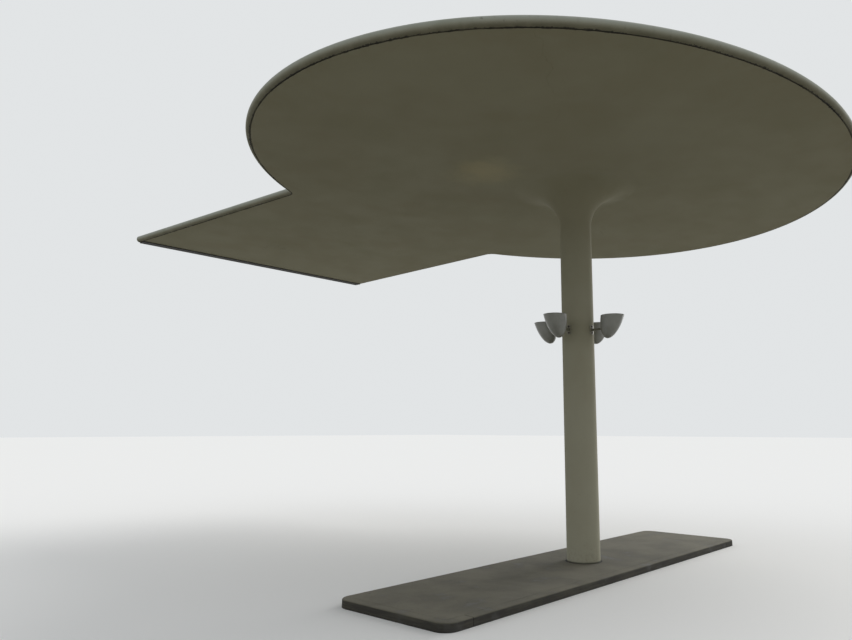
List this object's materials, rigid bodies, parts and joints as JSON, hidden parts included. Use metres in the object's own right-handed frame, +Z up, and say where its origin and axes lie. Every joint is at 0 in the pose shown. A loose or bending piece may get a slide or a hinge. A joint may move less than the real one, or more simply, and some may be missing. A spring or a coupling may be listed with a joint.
{
  "type": "filling station canopy",
  "caption": "Oval concrete canopy on one round column with a flared head, a flat neck to its building, bowl uplighters round the column and a kerbed island at its foot.",
  "frame": {"origin": "middle of the column's flat foot, at ground level", "axes": "+Z up; +Y from the column along the neck to the building's wall; +X along that wall, the oval's long axis"},
  "size_m": [7.582, 9.394, 4.464],
  "materials": {
    "painted_concrete": "old off-white paint on smooth cast concrete, weathered and stained along the edge",
    "roof_felt": "mineral-surfaced bitumen roofing felt",
    "edge_metal": "weathered mill finish",
    "cast_iron": "bitumen-coated casting",
    "joint_rubber": "dark joint filler",
    "kerb_concrete": "grey concrete, oil-stained on its face",
    "island_concrete": "trowelled grey concrete, stained",
    "lamp_metal": "satin grey paint on spun metal",
    "lamp_glass": "clear cover glass",
    "lamp_bulb": "frosted bulb in a white holder",
    "bracket_metal": "dark satin paint"
  },
  "bodies": {
    "root": {"roof_slab": "painted_concrete", "edge_nosing": "painted_concrete", "column_shaft": "painted_concrete", "column_capital": "painted_concrete", "roof_felt": "roof_felt", "edge_strip": "edge_metal", "roof_outlet": "cast_iron", "outlet_grate": "cast_iron", "bearing_strip": "joint_rubber", "foot_seal": "joint_rubber", "kerb_front": "kerb_concrete", "kerb_back": "kerb_concrete", "kerb_left_end": "kerb_concrete", "kerb_right_end": "kerb_concrete", "island_top": "island_concrete", "bowl_front": "lamp_metal", "glass_front": "lamp_glass", "lamp_front": "lamp_bulb", "arm_front": "bracket_metal", "plate_front": "bracket_metal", "bowl_left": "lamp_metal", "glass_left": "lamp_glass", "lamp_left": "lamp_bulb", "arm_left": "bracket_metal", "plate_left": "bracket_metal", "bowl_back": "lamp_metal", "glass_back": "lamp_glass", "lamp_back": "lamp_bulb", "arm_back": "bracket_metal", "plate_back": "bracket_metal", "bowl_right": "lamp_metal", "glass_right": "lamp_glass", "lamp_right": "lamp_bulb", "arm_right": "bracket_metal", "plate_right": "bracket_metal"}
  },
  "joints": []
}
